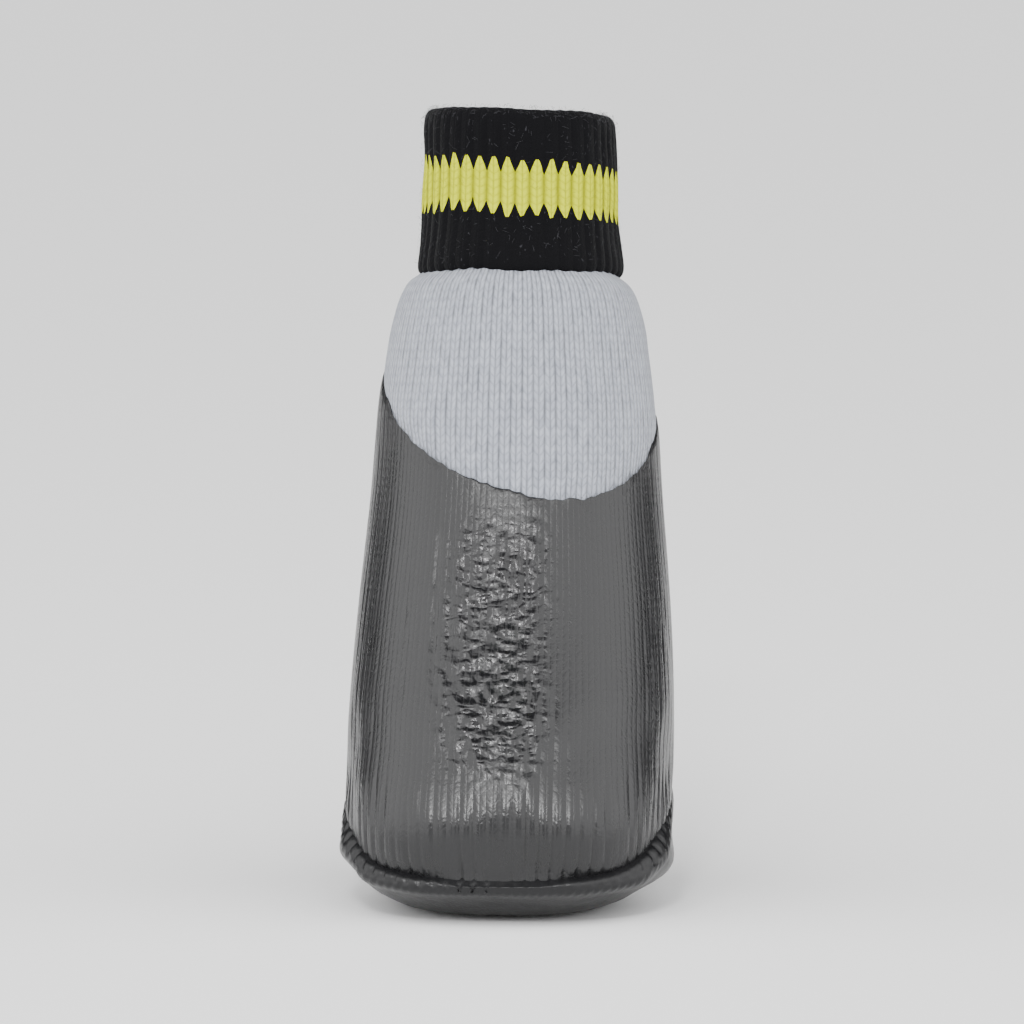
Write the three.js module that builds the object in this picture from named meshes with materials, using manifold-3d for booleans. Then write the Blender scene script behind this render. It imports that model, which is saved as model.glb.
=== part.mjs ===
// Knitted dog boot with a rubber-dipped foot, standing empty on its sole.
// Millimetres, +Z up, toe toward -Y, floor at Z = 0, origin under the middle of the outline.

import * as THREE from 'three';
import { mergeVertices } from 'three/addons/utils/BufferGeometryUtils.js';
import Module from 'manifold-3d';

const wasm = await Module();
wasm.setup();

// Outside of the boot
const BOOT_HEIGHT = 127; // floor to the front of the rim
const FOOT_LENGTH = 64.6; // toe tip to heel, over the rubber
const BALL_WIDTH = 51.6; // across the front of the foot, over the rubber
const LEG_DEPTH = 38; // front to back, halfway up
const LEG_WIDTH = 46; // side to side, halfway up
const SHAFT_LEAN = 30.6; // the cuff's lower edge lies this far behind the middle of the foot

// Cuff
const CUFF_HEIGHT = 26;
const CUFF_DEPTH = 30;
const CUFF_WIDTH = 32;
const CUFF_TILT = THREE.MathUtils.degToRad(8); // the rim faces this much backward
const CUFF_WALL = 3.2; // two layers of rib
const CUFF_LAP_WALL = 1.4; // the outer layer, where it hangs over the neck of the body
const CUFF_HEM = 0.5; // rounding of the lower edge
const NECK_HEIGHT = 7; // the body's neck goes this far up inside the cuff
const SHOULDER_DROP = 4; // the body swells out over this height under the cuff
const SHOULDER_SWELL = 3.1; // and by this much past the cuff

// Walls
const KNIT_WALL = 1.8; // bare knit
const SOAKED_WALL = 1.1; // knit pressed thin under the rubber
const COAT_WALL = 0.7; // first dip
const SOLE_SIDE_WALL = 1.1; // second dip, at the sides
const SOLE_UNDER_WALL = 2.4; // second dip, under the foot
const FIT_GAP = 0.3; // between two pieces that touch

// Upper line of the first dip, measured down from the cuff
const PANEL_FRONT = 35.5; // bare knit at the front
const PANEL_BACK = 8; // bare knit at the back
const DIP_ROLL = THREE.MathUtils.degToRad(10.5); // the line runs up toward -X

// Upper line of the second dip, and the toe seam along its front
const SOLE_RISE = 18.5; // highest point of the line above the floor
const SEAM_HEIGHT = 3.2;
const SEAM_PROUD = 1.1;
const EAR_PROUD = 1.7; // at the seam's two ends

const SEGMENTS = 40; // around each section
const LONGEST_RISE = 0.068; // between two sections, a share of the height of the cuff's lower edge
const LONGEST_STEP = 0.06; // between two points of the sole's line, a share of FOOT_LENGTH

// Sections of the outermost form, from the floor up.
// rise: share of the height of the cuff's lower edge; lean: share of SHAFT_LEAN;
// foot: 1 takes the foot's length and width, 0 the leg's depth and width, between them a blend;
// depth, width: shares of that length and width; fore: share of the depth ahead of the widest place;
// tilt: share of CUFF_TILT; blunt, heel: squareness ahead of and behind the widest place;
// under: share of the extra wall under the foot
const SECTIONS = [
  { rise: 0.0, lean: -0.01, foot: 1, depth: 0.64, width: 0.55, fore: 0.5,
    tilt: 0, blunt: 2.6, heel: 2.3, under: 1 },
  { rise: 0.01, lean: 0, foot: 1, depth: 0.712, width: 0.703, fore: 0.5,
    tilt: 0, blunt: 2.7, heel: 2.3, under: 0.9 },
  { rise: 0.03, lean: 0, foot: 1, depth: 0.817, width: 0.84, fore: 0.5,
    tilt: 0, blunt: 2.9, heel: 2.3, under: 0.6 },
  { rise: 0.061, lean: 0, foot: 1, depth: 0.907, width: 0.935, fore: 0.5,
    tilt: 0, blunt: 3.0, heel: 2.3, under: 0.3 },
  { rise: 0.101, lean: -0.005, foot: 1, depth: 0.969, width: 0.98, fore: 0.5,
    tilt: 0, blunt: 3.0, heel: 2.3, under: 0 },
  { rise: 0.172, lean: 0, foot: 1, depth: 1.0, width: 1.0, fore: 0.5,
    tilt: 0, blunt: 2.8, heel: 2.3, under: 0 },
  { rise: 0.242, lean: 0.105, foot: 1, depth: 0.97, width: 1.01, fore: 0.51,
    tilt: 0.12, blunt: 2.5, heel: 2.3, under: 0 },
  { rise: 0.373, lean: 0.304, foot: 0.6, depth: 0.997, width: 1.04, fore: 0.54,
    tilt: 0.38, blunt: 2.2, heel: 2.3, under: 0 },
  { rise: 0.494, lean: 0.461, foot: 0.3, depth: 1.009, width: 1.044, fore: 0.57,
    tilt: 0.5, blunt: 2.1, heel: 2.3, under: 0 },
  { rise: 0.646, lean: 0.618, foot: 0, depth: 1.042, width: 1.026, fore: 0.6,
    tilt: 0.75, blunt: 2.0, heel: 2.2, under: 0 },
  { rise: 0.787, lean: 0.735, foot: 0, depth: 0.989, width: 0.987, fore: 0.59,
    tilt: 0.94, blunt: 2.0, heel: 2.2, under: 0 },
  { rise: 0.918, lean: 0.89, foot: 0, depth: 1.005, width: 0.913, fore: 0.54,
    tilt: 1, blunt: 2.1, heel: 2.1, under: 0 },
];

// Swell of the body right under the cuff.
// drop: share of SHOULDER_DROP; depth, width, forward: shares of SHOULDER_SWELL
const SHOULDER = [
  { drop: 1.0, depth: 0.32, width: 1.0, forward: 0.29 },
  { drop: 0.25, depth: 0.24, width: 0.42, forward: 0.08 },
];

// Outside of the cuff, from its lower edge up.
// rise: share of CUFF_HEIGHT; depth, width: shares of CUFF_DEPTH and CUFF_WIDTH;
// forward: shift toward the toe, a share of CUFF_DEPTH
const CUFF_SECTIONS = [
  { rise: 0.0, depth: 1.187, width: 1.065, forward: 0.0 },
  { rise: 0.115, depth: 1.13, width: 1.04, forward: 0.0 },
  { rise: 0.25, depth: 1.05, width: 1.015, forward: 0.003 },
  { rise: 0.385, depth: 0.997, width: 1.0, forward: 0.005 },
  { rise: 0.65, depth: 0.973, width: 0.995, forward: 0.023 },
  { rise: 1.0, depth: 0.94, width: 0.99, forward: 0.033 },
];

// Upper line of the sole, seen from the side.
// along: share of FOOT_LENGTH behind the toe tip; height: share of SOLE_RISE
const SOLE_LINE = [
  { along: -0.1, height: 0.4 },
  { along: 0.0, height: 0.4 },
  { along: 0.1, height: 0.43 },
  { along: 0.2, height: 0.52 },
  { along: 0.32, height: 0.74 },
  { along: 0.45, height: 0.93 },
  { along: 0.68, height: 1.0 },
  { along: 1.0, height: 0.94 },
  { along: 1.2, height: 0.92 },
];

// Steps of the toe seam's ridge, all hanging from the sole's upper line.
// from, to: shares of FOOT_LENGTH behind the toe tip; top, bottom: shares of SEAM_HEIGHT below the line;
// proud: how far the step stands out
const SEAM_STEPS = [
  { from: -0.1, to: 0.2, top: 0.0, bottom: 1.0, proud: 0.55 * SEAM_PROUD },
  { from: -0.1, to: 0.2, top: 0.2, bottom: 0.8, proud: SEAM_PROUD },
  { from: 0.14, to: 0.2, top: 0.0, bottom: 1.0, proud: EAR_PROUD },
];

// How deep each surface lies under the outermost form
const COAT_OUTSIDE = SOLE_SIDE_WALL - COAT_WALL;
const SOAKED_OUTSIDE = SOLE_SIDE_WALL + FIT_GAP;
const KNIT_INSIDE = SOAKED_OUTSIDE + SOAKED_WALL;
const KNIT_OUTSIDE = KNIT_INSIDE - KNIT_WALL;
const UNDER_EXTRA = SOLE_UNDER_WALL - SOLE_SIDE_WALL;

// Value of a table's column at a place along another column, on straight stretches
function lookUp(table, key, place, column) {
  const last = table.length - 1;
  if (place <= table[0][key]) return table[0][column];
  for (let i = 0; i < last; i += 1) {
    const from = table[i];
    const to = table[i + 1];
    if (place <= to[key]) {
      const share = (place - from[key]) / (to[key] - from[key]);
      return THREE.MathUtils.lerp(from[column], to[column], share);
    }
  }
  return table[last][column];
}

// One smooth step between the middle two of four values
function smoothBetween(a, b, c, d, t) {
  const slopeIn = (c - a) / 2;
  const slopeOut = (d - b) / 2;
  const t2 = t * t;
  const t3 = t2 * t;
  return (2 * t3 - 3 * t2 + 1) * b + (t3 - 2 * t2 + t) * slopeIn
    + (3 * t2 - 2 * t3) * c + (t3 - t2) * slopeOut;
}

// The table with smooth rows put in where a span along one column is longer than this
function refined(table, along, longest) {
  const last = table.length - 1;
  const rows = [];
  for (let i = 0; i < last; i += 1) {
    const around = [table[Math.max(i - 1, 0)], table[i], table[i + 1], table[Math.min(i + 2, last)]];
    const steps = Math.ceil((table[i + 1][along] - table[i][along]) / longest);
    for (let step = 0; step < steps; step += 1) {
      const row = {};
      for (const key of Object.keys(table[i])) {
        const values = around.map((entry) => entry[key]);
        row[key] = smoothBetween(...values, step / steps);
      }
      rows.push(row);
    }
  }
  rows.push({ ...table[last] });
  return rows;
}

// Cuff

const RIM = CUFF_SECTIONS[CUFF_SECTIONS.length - 1];
const RIM_FRONT_REACH = CUFF_DEPTH * (RIM.depth / 2 + RIM.forward);
const CUFF_BASE_LEVEL = BOOT_HEIGHT - CUFF_HEIGHT * Math.cos(CUFF_TILT)
  - (RIM_FRONT_REACH - CUFF_WALL / 2) * Math.sin(CUFF_TILT);

// Section across the cuff's own axis, at a height above its lower edge,
// grown and moved forward by these amounts
function cuffSection(height, growDepth, growWidth, moveForward = 0) {
  const place = height / CUFF_HEIGHT;
  const forward = lookUp(CUFF_SECTIONS, 'rise', place, 'forward') * CUFF_DEPTH + moveForward;
  const ahead = new THREE.Vector2(-Math.cos(CUFF_TILT), Math.sin(CUFF_TILT));
  return {
    y: SHAFT_LEAN + height * Math.sin(CUFF_TILT) + forward * ahead.x,
    z: CUFF_BASE_LEVEL + height * Math.cos(CUFF_TILT) + forward * ahead.y,
    halfDepth: lookUp(CUFF_SECTIONS, 'rise', place, 'depth') * CUFF_DEPTH / 2 + growDepth,
    halfWidth: lookUp(CUFF_SECTIONS, 'rise', place, 'width') * CUFF_WIDTH / 2 + growWidth,
    fore: 0.5,
    tilt: CUFF_TILT,
    blunt: 2.1,
    heel: 2.1,
    under: 0,
  };
}

// Section of the foot and leg from a row of the table
function legSection(row) {
  return {
    y: row.lean * SHAFT_LEAN,
    z: row.rise * CUFF_BASE_LEVEL,
    halfDepth: row.depth * THREE.MathUtils.lerp(LEG_DEPTH, FOOT_LENGTH, row.foot) / 2,
    halfWidth: row.width * THREE.MathUtils.lerp(LEG_WIDTH, BALL_WIDTH, row.foot) / 2,
    fore: row.fore,
    tilt: row.tilt * CUFF_TILT,
    blunt: row.blunt,
    heel: row.heel,
    under: row.under,
  };
}

const LEG_SECTIONS = refined(SECTIONS, 'rise', LONGEST_RISE).map(legSection);
const NECK_GROW = KNIT_OUTSIDE - FIT_GAP - CUFF_LAP_WALL;

// Sections of the whole outermost form; top is how far the neck goes up inside the cuff
function formSections(top, withShoulder) {
  const sections = [...LEG_SECTIONS];
  if (withShoulder) {
    for (const row of SHOULDER) {
      sections.push(cuffSection(-row.drop * SHOULDER_DROP,
        row.depth * SHOULDER_SWELL, row.width * SHOULDER_SWELL, row.forward * SHOULDER_SWELL));
    }
    sections.push(cuffSection(-FIT_GAP, NECK_GROW, NECK_GROW));
  } else {
    sections.push(cuffSection(0, NECK_GROW, NECK_GROW));
  }
  sections.push(cuffSection(top / 2, NECK_GROW, NECK_GROW));
  sections.push(cuffSection(top, NECK_GROW, NECK_GROW));
  return sections;
}

// Point of a section: angle 0 is at the toe side, a quarter turn is at +X
function sectionPoint(section, angle) {
  const side = Math.sin(angle);
  const ahead = Math.cos(angle);
  const power = ahead > 0 ? section.blunt : section.heel;
  const reach = (Math.abs(side) ** power + Math.abs(ahead) ** power) ** (-1 / power);
  const depth = 2 * section.halfDepth;
  const widest = depth * (section.fore - 0.5);
  const across = widest - ahead * reach * depth * (ahead > 0 ? section.fore : 1 - section.fore);
  return new THREE.Vector3(
    side * reach * section.halfWidth,
    section.y + across * Math.cos(section.tilt),
    section.z - across * Math.sin(section.tilt),
  );
}

function ring(section) {
  const points = [];
  for (let k = 0; k < SEGMENTS; k += 1) {
    points.push(sectionPoint(section, (2 * Math.PI * k) / SEGMENTS));
  }
  return points;
}

// Rings moved inward along the form's own normals, deeper under the foot
function sunkenRings(sections, depth, underExtra) {
  const rings = sections.map(ring);
  const floorRing = rings[0].map((p) => new THREE.Vector3(p.x / 2, (p.y + sections[0].y) / 2, p.z));
  return rings.map((points, i) => points.map((point, k) => {
    const below = i > 0 ? rings[i - 1][k] : floorRing[k];
    const above = i < rings.length - 1 ? rings[i + 1][k] : point;
    const next = points[(k + 1) % SEGMENTS];
    const before = points[(k + SEGMENTS - 1) % SEGMENTS];
    const upward = above.clone().sub(below).normalize();
    const normal = next.clone().sub(before).normalize().cross(upward).normalize();
    return point.clone().addScaledVector(normal, -(depth + underExtra * sections[i].under));
  }));
}

// Geometry from indexed points
function indexedGeometry(points, triangles) {
  const geometry = new THREE.BufferGeometry().setFromPoints(points);
  geometry.setIndex(triangles);
  return geometry;
}

// Closed solid through a stack of rings, with a flat cap at both ends
function stackSolid(rings) {
  const points = rings.flat();
  const triangles = [];
  for (let i = 0; i < rings.length - 1; i += 1) {
    for (let k = 0; k < SEGMENTS; k += 1) {
      const a = i * SEGMENTS + k;
      const b = i * SEGMENTS + (k + 1) % SEGMENTS;
      triangles.push(a, b, b + SEGMENTS, a, b + SEGMENTS, a + SEGMENTS);
    }
  }
  const capRing = (start, facesUp) => {
    const middle = new THREE.Vector3();
    for (let k = 0; k < SEGMENTS; k += 1) middle.addScaledVector(points[start + k], 1 / SEGMENTS);
    points.push(middle);
    for (let k = 0; k < SEGMENTS; k += 1) {
      const a = start + k;
      const b = start + (k + 1) % SEGMENTS;
      triangles.push(...(facesUp ? [a, b, points.length - 1] : [b, a, points.length - 1]));
    }
  };
  capRing(0, false);
  capRing((rings.length - 1) * SEGMENTS, true);
  return toSolid(indexedGeometry(points, triangles));
}

// Closed tube wall through rings that come back to the first one
function loopSolid(rings) {
  const triangles = [];
  for (let i = 0; i < rings.length; i += 1) {
    for (let k = 0; k < SEGMENTS; k += 1) {
      const next = (k + 1) % SEGMENTS;
      const a = i * SEGMENTS + k;
      const b = i * SEGMENTS + next;
      const c = ((i + 1) % rings.length) * SEGMENTS + next;
      const d = ((i + 1) % rings.length) * SEGMENTS + k;
      triangles.push(a, b, c, a, c, d);
    }
  }
  return toSolid(indexedGeometry(rings.flat(), triangles));
}

function toSolid(source) {
  const bare = source.clone();
  bare.deleteAttribute('normal');
  bare.deleteAttribute('uv');
  const merged = mergeVertices(bare, 1e-4);
  return new wasm.Manifold(new wasm.Mesh({
    numProp: 3,
    vertProperties: new Float32Array(merged.attributes.position.array),
    triVerts: new Uint32Array(merged.index.array),
  }));
}

function toMesh(name, solid, material) {
  const { vertProperties, triVerts } = solid.getMesh();
  const geometry = new THREE.BufferGeometry();
  geometry.setAttribute('position', new THREE.BufferAttribute(new Float32Array(vertProperties), 3));
  geometry.setIndex(new THREE.BufferAttribute(new Uint32Array(triVerts), 1));
  const mesh = new THREE.Mesh(geometry, material);
  mesh.name = name;
  return mesh;
}

// Prism across the whole width, from an outline of (y, z) points seen from the side
function sidePrism(outline) {
  const width = 3 * BALL_WIDTH;
  const shape = new THREE.Shape(outline.map(([y, z]) => new THREE.Vector2(y, z)));
  const prism = new THREE.ExtrudeGeometry(shape, { depth: width, bevelEnabled: false });
  // The outline's own axes go to Y and Z, and the depth goes to X
  const axes = new THREE.Matrix4().makeBasis(
    new THREE.Vector3(0, 1, 0),
    new THREE.Vector3(0, 0, 1),
    new THREE.Vector3(1, 0, 0),
  );
  prism.applyMatrix4(axes.premultiply(new THREE.Matrix4().makeTranslation(-width / 2, 0, 0)));
  return toSolid(prism);
}

// Cutting forms

const TOE_TIP = -FOOT_LENGTH / 2;
const SOLE_LINE_POINTS = refined(SOLE_LINE, 'along', LONGEST_STEP).map((row) => [
  TOE_TIP + row.along * FOOT_LENGTH,
  row.height * SOLE_RISE,
]);
const FAR = 2 * BOOT_HEIGHT;

// Everything under the sole's upper line, with the line moved up by a lift
function underSoleLine(lift) {
  const line = SOLE_LINE_POINTS.map(([y, z]) => [y, z + lift]);
  const toeLevel = line[0][1];
  const heelLevel = line.at(-1)[1];
  return sidePrism([[-FAR, -FAR], [FAR, -FAR], [FAR, heelLevel], ...line.reverse(), [-FAR, toeLevel]]);
}

// Band along the sole's upper line, for a step of the toe seam
function seamBand(step) {
  const from = TOE_TIP + step.from * FOOT_LENGTH;
  const to = TOE_TIP + step.to * FOOT_LENGTH;
  const inside = SOLE_LINE_POINTS.filter(([y]) => y > from && y < to);
  const table = SOLE_LINE_POINTS.map(([y, z]) => ({ y, z }));
  const line = [[from, lookUp(table, 'y', from, 'z')], ...inside, [to, lookUp(table, 'y', to, 'z')]];
  const upper = line.map(([y, z]) => [y, z - step.top * SEAM_HEIGHT]);
  const lower = line.map(([y, z]) => [y, z - step.bottom * SEAM_HEIGHT]);
  return sidePrism([...lower, ...upper.reverse()]);
}

// Where the outside of the bare knit crosses a level, at the front (side -1) or the back (side 1)
function outlineY(side, level) {
  const angle = side < 0 ? 0 : Math.PI;
  const line = formSections(NECK_HEIGHT, true).map((section) => {
    const point = sectionPoint(section, angle);
    return { z: point.z, y: point.y };
  });
  return lookUp(line, 'z', level, 'y');
}

// Everything above the first dip's slanted upper line, with the line moved up by a lift
function aboveDipLine(lift) {
  const edge = cuffSection(0, 0, 0);
  const frontLevel = edge.z + edge.halfDepth * Math.sin(CUFF_TILT) - PANEL_FRONT;
  const backLevel = edge.z - edge.halfDepth * Math.sin(CUFF_TILT) - PANEL_BACK;
  const front = new THREE.Vector3(0, outlineY(-1, frontLevel), frontLevel);
  const back = new THREE.Vector3(0, outlineY(1, backLevel), backLevel);
  const along = back.clone().sub(front).normalize();
  const across = new THREE.Vector3(Math.cos(DIP_ROLL), 0, -Math.sin(DIP_ROLL));
  const up = across.clone().cross(along).normalize();
  const box = new THREE.BoxGeometry(FAR, FAR, FAR);
  const middle = front.clone().lerp(back, 0.5).addScaledVector(up, FAR / 2 + lift);
  const axes = new THREE.Matrix4().makeBasis(along.clone().cross(up), along, up);
  box.applyMatrix4(axes.setPosition(middle));
  return toSolid(box);
}

// Pieces

function makeKnitBody() {
  const sections = formSections(NECK_HEIGHT, true);
  const bare = stackSolid(sunkenRings(sections, KNIT_OUTSIDE, UNDER_EXTRA));
  const soaked = stackSolid(sunkenRings(sections, SOAKED_OUTSIDE, UNDER_EXTRA));
  const hollowSections = formSections(NECK_HEIGHT + CUFF_WALL, false);
  const hollow = stackSolid(sunkenRings(hollowSections, KNIT_INSIDE, UNDER_EXTRA));
  return bare.intersect(aboveDipLine(FIT_GAP)).add(soaked).subtract(hollow);
}

function makeRubberCoat() {
  const sections = formSections(NECK_HEIGHT, true);
  const outside = stackSolid(sunkenRings(sections, COAT_OUTSIDE, 0));
  const inside = stackSolid(sunkenRings(sections, SOLE_SIDE_WALL, 0));
  return outside.subtract(aboveDipLine(0)).subtract(underSoleLine(FIT_GAP)).subtract(inside);
}

function makeRubberSole() {
  const sections = formSections(NECK_HEIGHT, true);
  let sole = stackSolid(sunkenRings(sections, 0, 0));
  for (const step of SEAM_STEPS) {
    const larger = stackSolid(sunkenRings(sections, -step.proud, 0));
    sole = sole.add(larger.intersect(seamBand(step)));
  }
  const inside = stackSolid(sunkenRings(sections, SOLE_SIDE_WALL, UNDER_EXTRA));
  return sole.intersect(underSoleLine(0)).subtract(inside);
}

// Outline of the cuff's wall: height above the lower edge, and depth under the cuff's outside
function cuffOutline() {
  const rimRadius = CUFF_WALL / 2;
  const neckTop = NECK_HEIGHT + FIT_GAP;
  const outer = CUFF_SECTIONS.slice(1, -1).map((row) => [row.rise * CUFF_HEIGHT, 0]);
  const inner = outer.filter(([height]) => height > neckTop + 1).map(([height]) => [height, CUFF_WALL]);
  const rim = [0, 45, 90, 135, 180].map((degrees) => {
    const turn = THREE.MathUtils.degToRad(degrees);
    return [
      CUFF_HEIGHT - rimRadius + rimRadius * Math.sin(turn),
      rimRadius - rimRadius * Math.cos(turn),
    ];
  });
  return [
    [0, CUFF_LAP_WALL],
    [0, CUFF_HEM],
    [CUFF_HEM, 0],
    ...outer,
    ...rim,
    ...inner.reverse(),
    [neckTop, CUFF_WALL],
    [neckTop, CUFF_LAP_WALL],
  ];
}

function makeRibbedCuff() {
  return loopSolid(cuffOutline().map(([height, depth]) => ring(cuffSection(height, -depth, -depth))));
}

const material = (color, roughness) => new THREE.MeshStandardMaterial({ color, roughness, metalness: 0 });

const boot = new THREE.Group();
boot.add(
  toMesh('knit_body', makeKnitBody(), material('#b9bfc9', 0.9)),
  toMesh('ribbed_cuff', makeRibbedCuff(), material('#1d1d21', 0.95)),
  toMesh('rubber_coat', makeRubberCoat(), material('#333336', 0.4)),
  toMesh('rubber_sole', makeRubberSole(), material('#2a2a2d', 0.35)),
);

// The origin lies on the floor under the middle of the outline
const outline = new THREE.Box3().setFromObject(boot);
boot.position.y = -(outline.min.y + outline.max.y) / 2;

export default boot;
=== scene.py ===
# %% [markdown]
# # Dog boot: a knitted sock with a rubber-dipped foot
# The boot is four soft pieces: a grey knitted body, a doubled rib cuff, a thin rubber coat and a
# thicker rubber sole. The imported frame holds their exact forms. Each piece here starts as an open
# cylinder that is cut into rings. The rings follow sections measured on the frame's solids; body,
# coat and sole are then seated on their own solid, and all are finished with relief and a material.

# %% Load the frame
import math
import random

import bpy
import numpy as np
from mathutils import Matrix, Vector, noise


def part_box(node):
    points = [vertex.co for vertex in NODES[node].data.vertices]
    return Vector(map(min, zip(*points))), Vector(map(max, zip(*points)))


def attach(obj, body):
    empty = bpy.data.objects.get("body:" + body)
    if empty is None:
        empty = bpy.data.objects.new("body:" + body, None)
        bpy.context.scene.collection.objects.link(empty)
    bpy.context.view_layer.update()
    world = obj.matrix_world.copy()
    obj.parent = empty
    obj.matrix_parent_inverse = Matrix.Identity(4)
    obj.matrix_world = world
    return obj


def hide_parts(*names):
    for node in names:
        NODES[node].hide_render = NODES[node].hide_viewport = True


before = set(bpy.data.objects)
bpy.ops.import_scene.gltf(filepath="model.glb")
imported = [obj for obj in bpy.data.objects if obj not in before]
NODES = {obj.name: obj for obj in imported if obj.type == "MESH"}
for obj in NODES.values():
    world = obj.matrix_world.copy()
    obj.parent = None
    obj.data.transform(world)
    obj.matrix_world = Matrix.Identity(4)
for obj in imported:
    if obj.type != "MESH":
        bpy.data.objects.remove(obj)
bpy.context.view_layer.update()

MM = 0.001

# %% [markdown]
# ## Reading the form from the frame
# A knitted tube has no drawing, only sections. Cutting the frame's solids with a stack of planes
# gives the front, back, width and widest place at each height, so nothing here has to be typed in.
# The planes tip backward with the leg, flat at the floor and as tipped as the rim at the top.

# %% Measure the rim, the slanted rubber line and the sole's upper line
SECTORS = 40


def points_of(node):
    mesh = NODES[node].data
    places = np.empty(len(mesh.vertices) * 3)
    mesh.vertices.foreach_get("co", places)
    return places.reshape(-1, 3)


def top_edge(node, middle_y):
    """The highest point near each of some turns round an upright axis, for a node with an open top."""
    places = points_of(node)
    turn = np.arctan2(places[:, 0], -(places[:, 1] - middle_y))
    highest = []
    for sector in range(SECTORS):
        away = (turn - sector * math.tau / SECTORS + math.pi) % math.tau - math.pi
        near = places[np.abs(away) < math.tau / SECTORS]
        highest.append(near[np.argmax(near[:, 2])])
    return np.array(highest)


def plane_through(places):
    """Level, rise along X and rise along Y of the plane that fits the points best."""
    rows = np.column_stack([np.ones(len(places)), places[:, 0], places[:, 1]])
    return np.linalg.lstsq(rows, places[:, 2], rcond=None)[0]


rim_low, rim_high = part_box("ribbed_cuff")
CUFF_Y = (rim_low[1] + rim_high[1]) / 2
RIM_LEVEL, _, rim_rise = plane_through(top_edge("ribbed_cuff", CUFF_Y))
CUFF_SLOPE = -rim_rise
DIP_LEVEL, DIP_ROLL, DIP_RISE = plane_through(top_edge("rubber_coat", CUFF_Y))
sole_low, sole_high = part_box("rubber_sole")
FOOT_Y = (sole_low[1] + sole_high[1]) / 2
print("cuff leans back", round(math.degrees(math.atan(CUFF_SLOPE)), 1), "degrees")
print("rubber line rises", round(math.degrees(math.atan(DIP_RISE)), 1), "degrees to the back")

# %% [markdown]
# ### Sections of the whole boot
# A plane is given by its level over the origin and by how much it falls toward the back. Where it
# cuts the edges of the solids, the outermost points say how far the form reaches, and one rounded
# outline through them comes close enough for Shrinkwrap to do the rest.

# %% Cut the frame's solids into sections
FOOT_TOP = 17 * MM  # the planes are level up to here
TIPPED_BELOW_RIM = 26 * MM  # and as tipped as the rim from this far below it
WIDEST = 0.985  # points past this share of the half width count as its widest place
SQUARENESS = 2.3  # an outline of 2 is an ellipse, and a larger one fills its corners
FORM_LEVELS = (0.15, 1, 2, 3.5, 6, 9, 12, 16, 20, 25, 30, 36, 42, 48, 54, 60, 66, 72, 78, 84, 90, 94)


def slope_at(level):
    """How much a plane falls toward the back, by the level where it crosses the origin's axis."""
    share = (level - FOOT_TOP) / (RIM_LEVEL - TIPPED_BELOW_RIM - FOOT_TOP)
    return CUFF_SLOPE * min(max(share, 0), 1)


def crossings(nodes, level, slope):
    """Where the edges of some nodes cross the plane z = level - slope * y."""
    found = []
    for node in nodes:
        places = points_of(node)
        edges = np.array([edge.vertices[:] for edge in NODES[node].data.edges])
        height = places[:, 2] + slope * places[:, 1] - level
        a, b = edges[:, 0], edges[:, 1]
        crossing = height[a] * height[b] < 0
        a, b = a[crossing], b[crossing]
        share = (height[a] / (height[a] - height[b]))[:, None]
        found.append(places[a] + (places[b] - places[a]) * share)
    return np.concatenate(found)


def measured(nodes, levels, slope=None):
    """One row for each level: level, slope, front, back, widest place and half width."""
    rows = []
    for level in levels:
        tip = slope_at(level) if slope is None else slope
        cut = crossings(nodes, level, tip)
        half = np.abs(cut[:, 0]).max()
        front, back = cut[:, 1].min(), cut[:, 1].max()
        wide = cut[np.abs(cut[:, 0]) > WIDEST * half][:, 1].mean()
        rows.append([level, tip, front, back, wide, half])
    return np.array(rows)


def section_at(table, level):
    return [np.interp(level, table[:, 0], table[:, column]) for column in range(1, 6)]


def on_form(table, turn, level, grow=0.0, square=SQUARENESS):
    """The point at a turn round the boot (0 at the toe side, a quarter turn at +X) and a level."""
    slope, front, back, wide, half = section_at(table, level)
    side, ahead = math.sin(turn), math.cos(turn)
    reach = (abs(side) ** square + abs(ahead) ** square) ** (-1 / square)
    run = (wide - front if ahead > 0 else back - wide) + grow
    y = wide - ahead * reach * run
    return Vector((side * reach * (half + grow), y, level - slope * y))


OUTSIDE = measured(["rubber_sole", "rubber_coat", "knit_body"], [v * MM for v in FORM_LEVELS])
print("sections measured:", len(OUTSIDE))

# %% [markdown]
# ## The cage of a piece
# A knitted tube is wales running down and courses running round, so its mesh runs the same way: one
# column of faces for every few wales, and rows that end exactly on the rubber line or the sole's
# line. An open cylinder with its upright edges subdivided gives that grid. Shrinkwrap then seats
# the grid on the solid, and Subdivision Surface rounds it.

# %% Tube
WALES = 76  # lines of stitches round the sock
COLUMNS = 57  # faces round a cage; after three subdivisions each wale has six


def deselect_all():
    if bpy.context.object and bpy.context.object.mode != "OBJECT":
        bpy.ops.object.mode_set(mode="OBJECT")
    bpy.ops.object.select_all(action="DESELECT")


def tube(name, columns, rings):
    """An open cylinder of height 1, cut into this many rings of vertices."""
    deselect_all()
    bpy.ops.mesh.primitive_cylinder_add(
        vertices=columns, radius=1, depth=1, end_fill_type="NOTHING", location=(0, 0, 0.5))
    piece = bpy.context.object
    piece.name = name
    bpy.ops.object.transform_apply(location=True)
    bpy.ops.object.mode_set(mode="EDIT")
    bpy.ops.mesh.select_mode(type="EDGE")
    bpy.ops.mesh.select_all(action="DESELECT")
    bpy.ops.object.mode_set(mode="OBJECT")
    for edge in piece.data.edges:
        ends = [piece.data.vertices[i].co.z for i in edge.vertices]
        edge.select = abs(ends[0] - ends[1]) > 0.5
    bpy.ops.object.mode_set(mode="EDIT")
    bpy.ops.mesh.subdivide(number_cuts=rings - 2)
    bpy.ops.object.mode_set(mode="OBJECT")
    return piece


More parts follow.
